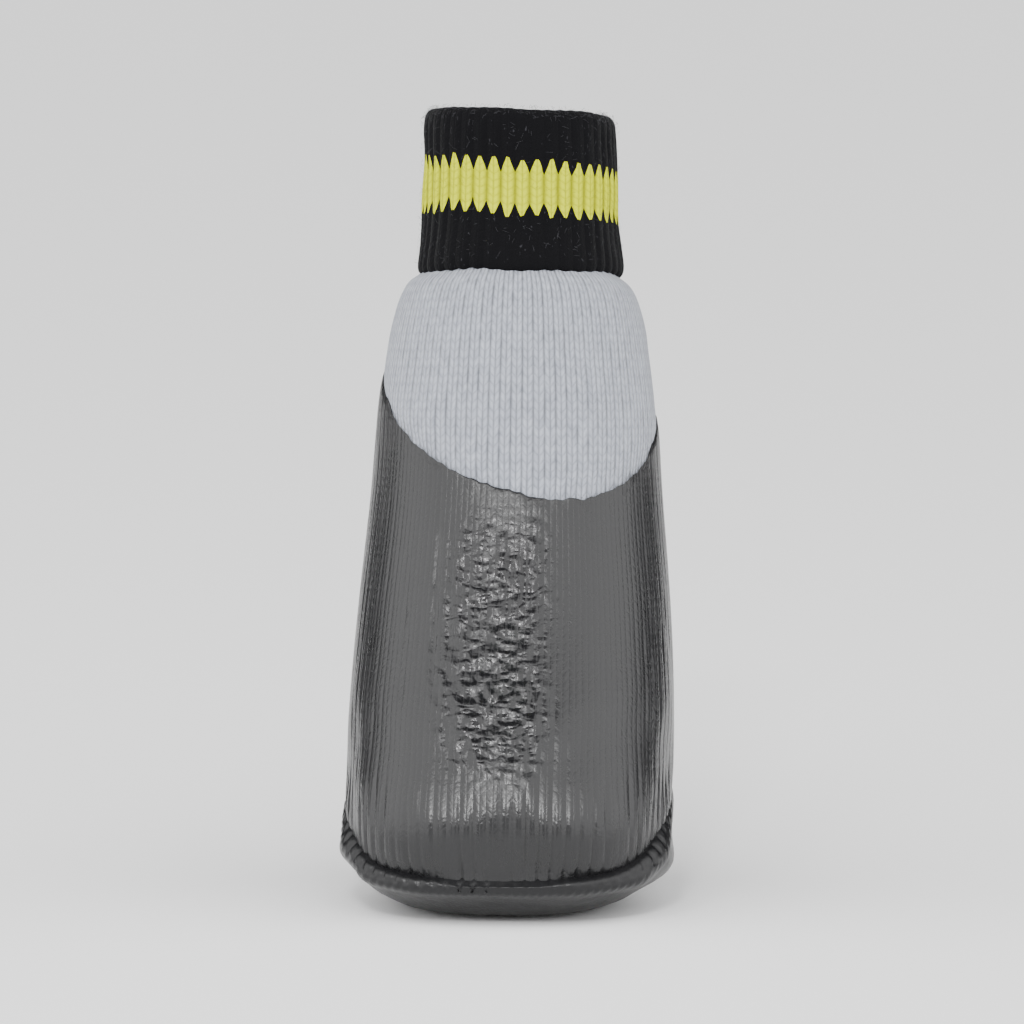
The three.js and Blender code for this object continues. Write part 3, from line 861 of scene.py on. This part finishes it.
lint_shader.inputs["Base Color"].default_value = linear("#3d3d41")
lint_shader.inputs["Roughness"].default_value = 0.9
lint_mesh.materials.append(lint_material)
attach(lint, "root")
print("lint faces:", len(lint_faces))

# %% [markdown]
# ## Rubber coat
# The first dip follows every wale, so the ribs of the knit stand out as ridges with narrow valleys.
# Down the middle of the instep the coat has been crumpled where the foot folds. The main creases
# are placed in the boot's own sizes.

# %% Rows of the rubber coat
COAT_SHARES = tuple(np.concatenate([[0.0, 0.025], np.linspace(0.08, 0.92, 13), [0.97, 1.0]]))
TURNED_IN = ((0.35, 0.75), (3.0, 0.95))  # below the edge and under the surface, in mm
COAT_RINGS = 1 + len(COAT_SHARES) + len(TURNED_IN)


def sole_level_at(turn):
    """Level of the sole's edge below a turn round the leg."""
    point = on_form(OUTSIDE, turn, 14 * MM)
    return level_on_sole(math.atan2(point.x, -(point.y - FOOT_Y)))


def coat_level(turn, ring):
    low, high = sole_level_at(turn) + 0.2 * MM, level_on_dip(turn)
    if ring == 0:
        return low - 1.7 * MM
    if ring > len(COAT_SHARES):
        return high - TURNED_IN[ring - len(COAT_SHARES) - 1][0] * MM
    return low + (high - low) * COAT_SHARES[ring - 1]


def coat_point(turn, ring):
    depth = TURNED_IN[ring - len(COAT_SHARES) - 1][1] * MM if ring > len(COAT_SHARES) else 0.3 * MM
    return on_form(OUTSIDE, turn, coat_level(turn, ring), -depth)


# %% [markdown]
# ### From rows to the coat
# The lowest ring is tucked in under the sole and keeps its place when the others are seated. The
# last two turn in over the edge, which gives the rubber line its thickness.

# %% Rubber coat
coat = tube("rubber_coat_visual", COLUMNS, COAT_RINGS)
tucked = shape(coat, COAT_RINGS, coat_point, coat_level)
tucked_places = [coat.data.vertices[number].co.copy() for number in tucked]
seat_on(coat, "rubber_coat")
for number, place in zip(tucked, tucked_places):
    coat.data.vertices[number].co = place
rounded(coat, 3)
face_outward(coat)
print("coat rows:", COAT_RINGS)

# %% [markdown]
# ### Creases and folds of the instep
# The foot folds the coat in the same places again and again. The long creases run down it, the
# short folds cross it, and each is a row in a table, placed from the photo.

# %% Creases and folds
# Creases of the instep: place across the front and heights in mm, depth and half width of the trough
CREASES = [
    {"across": -11.4, "low": 34, "high": 64, "depth": 0.32, "half": 0.42},
    {"across": -9.0, "low": 26, "high": 62, "depth": 0.26, "half": 0.42},
    {"across": 0.5, "low": 45, "high": 62, "depth": 0.3, "half": 0.42},
    {"across": 2.6, "low": 42, "high": 60, "depth": 0.26, "half": 0.42},
    {"across": 4.6, "low": 23, "high": 46, "depth": 0.42, "half": 0.42},
    {"across": 8.2, "low": 22, "high": 38, "depth": 0.22, "half": 0.5},
    {"across": 10.2, "low": 20, "high": 33, "depth": 0.18, "half": 0.5},
    {"across": -16.5, "low": 30, "high": 58, "depth": 0.12, "half": 0.6},
]
# Folds that cross the instep: place across, height, half length, tilt, depth and half width in mm
FOLDS = [
    {"across": -5.0, "level": 58.5, "reach": 3.0, "tilt": 0.25, "depth": 0.16, "half": 0.6},
    {"across": 1.5, "level": 54.5, "reach": 3.0, "tilt": -0.2, "depth": 0.16, "half": 0.5},
    {"across": -4.0, "level": 49.5, "reach": 4.0, "tilt": 0.15, "depth": 0.2, "half": 0.6},
    {"across": 0.0, "level": 44.0, "reach": 4.5, "tilt": -0.12, "depth": 0.22, "half": 0.6},
    {"across": -3.5, "level": 39.5, "reach": 3.5, "tilt": 0.2, "depth": 0.26, "half": 0.6},
    {"across": 0.5, "level": 36.0, "reach": 3.5, "tilt": -0.1, "depth": 0.26, "half": 0.6},
    {"across": -2.0, "level": 31.5, "reach": 4.5, "tilt": 0.06, "depth": 0.34, "half": 0.7},
    {"across": -0.5, "level": 27.5, "reach": 3.5, "tilt": -0.05, "depth": 0.26, "half": 0.7},
]


print("creases and folds:", len(CREASES), "and", len(FOLDS))

# %% [markdown]
# ### Surface of the coat
# Three heights add up: the valleys between the wales, the crumpled skin, and the creases and folds.

# %% Relief of the coat
def band(values, low, high, soft):
    """1 between two limits, fading to 0 over a soft edge."""
    return np.clip((values - low) / soft, 0, 1) * np.clip((high - values) / soft, 0, 1)


def wale_ribs(u, places):
    """Valleys between the wales: deep round the toe and down the flanks, faint on the instep."""
    x, z = places[:, 0] / MM, places[:, 2] / MM
    valley = -np.abs((u % 1.0) * 2 - 1) ** 4
    toe = fade(z, 25, 16)
    flank = fade(np.abs(x), 17, 25) + fade(places[:, 1] / MM, 0, 14)
    uneven = np.clip(0.7 + 1.5 * grain(places, 3.0, 22, 7.0), 0.05, 2.0)
    return valley * (0.03 + 0.34 * toe + 0.07 * np.clip(flank, 0, 1)) * uneven


def coat_relief(u, v, places):
    x, y, z = places.T / MM
    front = fade(y, FOOT_Y / MM, FOOT_Y / MM - 12) + fade(z, 30, 45) * (y < 8)
    front = np.clip(front, 0, 1)
    crumple = band(x, -13, 9, 6) * band(z, 20, 65, 9) * front
    height = wale_ribs(u, places)
    pillows = 1.15 * np.abs(grain(places, 3.0, 1.7, 1.0)) + 0.45 * np.abs(grain(places, 1.5, 1.0, 5.0))
    height = height + crumple * pillows * (0.65 + 0.5 * fade(z, 45, 30))
    broken = np.clip(0.7 + 1.3 * grain(places, 8, 2.6, 8.0), 0, 1.3)
    for crease in CREASES:
        wander = crease["across"] + 0.12 * np.sin(z / 5 + crease["low"])
        trough = np.exp(-((x - wander) / crease["half"]) ** 2) * broken
        height = height - trough * band(z, crease["low"], crease["high"], 6) * crease["depth"] * front
    for fold in FOLDS:
        run = x - fold["across"]
        line = fold["level"] + fold["tilt"] * run + 0.3 * np.sin(run * 0.7 + fold["level"])
        along = fade(np.abs(run), fold["reach"], fold["reach"] * 0.4)
        trough = np.exp(-((z - line) / fold["half"]) ** 2)
        ridge = np.exp(-((z - line - 1.6 * fold["half"]) / fold["half"]) ** 2)
        height = height + along * fold["depth"] * front * (0.8 * ridge - trough)
    return height * MM + fuller_sides(places)


def coat_lift(u, v, places):
    """The rubber's upper edge runs a little further down some wales than others."""
    line = (DIP_LEVEL + DIP_ROLL * places[:, 0] + DIP_RISE * places[:, 1] - places[:, 2]) / MM
    ragged = 0.5 * grain(places, 2.2, 60, 2.0) + 0.06 * np.cos(u * math.tau)
    return ragged * fade(line, 3.0, 0.6) * MM


relief(coat, coat_relief, coat_lift, two_layers=True)
dress(coat, THIN_LATEX)
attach(coat, "root")
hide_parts("rubber_coat")
print("coat faces:", len(coat.data.polygons))

# %% [markdown]
# ## Rubber sole
# The second dip makes a smooth cup under the foot. The sock's toe is closed by a linked seam, and
# through the rubber it shows as a rope-like ridge from ear to ear.

# %% Rows of the rubber sole
SOLE_UNDER = [v * MM for v in (0.0, 0.0, 0.3, 1.5, 3.2)]
SOLE_REACH = (0.3, 0.7)  # how far out the two lowest rings lie
SOLE_SQUARENESS = 2.5
LIP_RISE, LIP_DEPTH = 0.3 * MM, 0.75 * MM  # the top ring dives under the coat's surface
SOLE_WALL = 0.9 * MM
SOLE_SHARES = (0.25, 0.45, 0.62, 0.78, 0.92, 1.0)
SOLE_RINGS = len(SOLE_UNDER) + len(SOLE_SHARES)


def sole_level(turn, ring):
    if ring < len(SOLE_UNDER):
        return SOLE_UNDER[ring]
    top = sole_level_at(turn)
    low = SOLE_UNDER[-1]
    return low + (top - low) * SOLE_SHARES[ring - len(SOLE_UNDER)]


def sole_point(turn, ring):
    level = sole_level(turn, ring)
    if ring < len(SOLE_REACH):
        middle = Vector((0, FOOT_MIDDLE_Y, 0))
        edge = on_form(OUTSIDE, turn, 0.2 * MM)
        edge.z = 0
        return middle + (edge - middle) * SOLE_REACH[ring]
    return on_form(OUTSIDE, turn, max(level, 0.15 * MM), 1.2 * MM, SOLE_SQUARENESS)


# %% [markdown]
# ### From rows to the sole
# The cup is seated like the other pieces. Its top ring is then led under the coat's surface all
# round, so that the second dip lies on the first one without a gap.

# %% Rubber sole
sole = tube("rubber_sole_visual", COLUMNS, SOLE_RINGS)
upper_edge = [vertex.index for vertex in sole.data.vertices if vertex.co.z > 0.999]
lip_turns = [math.atan2(sole.data.vertices[i].co.x, -sole.data.vertices[i].co.y) for i in upper_edge]
lowest = shape(sole, SOLE_RINGS, sole_point, sole_level)
seat_on(sole, "rubber_sole")
for number, turn in zip(upper_edge, lip_turns):
    sole.data.vertices[number].co = on_form(OUTSIDE, turn, sole_level_at(turn) + LIP_RISE, -LIP_DEPTH)
close_ring(sole, lowest)
rounded(sole, 3)
face_outward(sole)
print("sole rows:", SOLE_RINGS)

# %% [markdown]
# ### Toe seam
# The linked seam is a soft ridge below the edge, notched once for each wale. It ends in an ear on
# each side of the foot, and the two ears differ a little in size and height.

# %% Toe seam and ears
# Ears where the toe seam ends: turn round the foot in degrees, height, size and lift in mm
EARS = [
    {"turn": 64, "level": 8.2, "tall": 3.0, "wide": 17, "proud": 1.7},
    {"turn": -66, "level": 9.6, "tall": 2.2, "wide": 14, "proud": 1.2},
]


def sole_relief(u, v, places):
    x, y, z = places.T / MM
    turn = np.arctan2(places[:, 0], -(places[:, 1] - FOOT_Y))
    top = np.interp(turn, EDGE_TURNS, EDGE_LEVELS, period=math.tau) / MM
    below = top - z
    seam = fade(np.abs(np.degrees(turn)), 88, 66)
    worn = 0.2 + 0.8 * fade(x, 3, -9) + 0.4 * fade(x, 12, 22)
    rope = 0.75 + 0.25 * np.cos((u * 1.5 + below * 0.5) * math.tau)
    height = seam * 0.32 * np.exp(-((below - 1.9) / 0.8) ** 2) * rope
    needle = np.clip(np.cos(u * math.tau), 0, 1) ** 2
    height = height - seam * worn * 0.5 * needle * np.exp(-((below - 0.7) / 0.45) ** 2)
    for ear in EARS:
        away = (np.degrees(turn) - ear["turn"]) / ear["wide"]
        height = height + ear["proud"] * np.exp(-away ** 2 - ((z - ear["level"]) / ear["tall"]) ** 2)
    dimple = 0.1 * grain(places, 6, 4, 4.0) + 0.04 * grain(places, 1.5, 1.5, 9.0)
    height = height + dimple * fade(z, 0.2, 2.5)
    return height * MM + fuller_sides(places)


relief(sole, sole_relief)
finish_modifier(sole, "SOLIDIFY", thickness=SOLE_WALL, offset=-1)
dress(sole, THICK_LATEX)
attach(sole, "root")
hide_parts("rubber_sole")
print("sole faces:", len(sole.data.polygons))

# %% [markdown]
# ## Stage
# The boots stand on white paper. One wide plane does for it, since the camera looks almost level
# and the paper has to reach past the horizon line of the picture.

# %% Stage
FLOOR_SIZE = 24
deselect_all()
bpy.ops.mesh.primitive_plane_add(size=FLOOR_SIZE)
floor = bpy.context.object
floor.name = "floor"
paper, _, paper_shader = new_material("white_paper")
paper_shader.inputs["Base Color"].default_value = linear("#f9f9f9")
paper_shader.inputs["Roughness"].default_value = 0.8
floor.data.materials.append(paper)
print("floor is", FLOOR_SIZE, "m wide")

# %% [markdown]
# ## Light
# Black rubber shows what it mirrors. Two soft lamps above the front give the glints on the instep,
# and a bright room at the sides and overhead gives the grey flanks. The room stays dark in front
# and behind at floor height, which leaves the outline and the toe dark, as in the photo.

# %% Light
def soft_light(name, width, place, target, watts):
    data = bpy.data.lights.new(name, "AREA")
    data.shape = "RECTANGLE"
    data.size, data.size_y = width
    data.energy = watts
    lamp = bpy.data.objects.new(name, data)
    bpy.context.scene.collection.objects.link(lamp)
    lamp.location = place
    lamp.rotation_euler = (Vector(target) - Vector(place)).to_track_quat("-Z", "Y").to_euler()


soft_light("key", (1.0, 0.6), (-0.1, -0.95, 1.1), (0, 0, 0.05), 9)
soft_light("glint", (0.2, 0.14), (-0.08, -1.2, 0.8), (0, 0, 0.03), 9)
world = bpy.data.worlds.new("room")
world.use_nodes = True
room = world.node_tree
way_x, way_y, way_z = add(room, "SeparateXYZ", (add(room, "TexCoord", output="Generated"),)).node.outputs
lit = add(room, "Math", (way_x,), operation="ABSOLUTE")
lit = add(room, "Math", (lit, 0.9), operation="MULTIPLY")
lit = add(room, "Math", (way_y, -0.45, lit), operation="MULTIPLY_ADD")
lit = add(room, "Math", (way_z, 0.45, lit), operation="MULTIPLY_ADD")
strength = add(room, "MapRange", {"Value": lit, "From Min": 0.52, "From Max": 0.95,
                                  "To Min": 0.03, "To Max": 3.0}, interpolation_type="SMOOTHSTEP")
room.links.new(strength, room.nodes["Background"].inputs["Strength"])
room.nodes["Background"].inputs["Color"].default_value = linear("#ffffff")
bpy.context.scene.world = world
print("lamps:", len(bpy.data.lights))

# %% [markdown]
# ## Camera
# The camera looks at the toe side from a little above the floor and a little to one side, from far
# enough away that the boot's upright lines stay nearly parallel, as in the photo.

# %% Camera
AZIMUTH, ELEVATION = math.radians(3), math.radians(6.5)
DISTANCE = 1.2
SEEN_WIDTH = 0.166  # metres across the picture, at the boot
SENSOR_MM = 36
TARGET = Vector((0, 0, 62 * MM))
camera_data = bpy.data.cameras.new("camera")
camera = bpy.data.objects.new("camera", camera_data)
bpy.context.scene.collection.objects.link(camera)
bpy.context.scene.camera = camera
level_share = math.cos(ELEVATION)
toward_camera = Vector((math.sin(AZIMUTH) * level_share, -math.cos(AZIMUTH) * level_share,
                        math.sin(ELEVATION)))
camera.location = TARGET + toward_camera * DISTANCE
camera.rotation_euler = (-toward_camera).to_track_quat("-Z", "Y").to_euler()
camera_data.sensor_width = SENSOR_MM
camera_data.lens = SENSOR_MM * DISTANCE / SEEN_WIDTH
print("lens:", round(camera_data.lens), "mm")
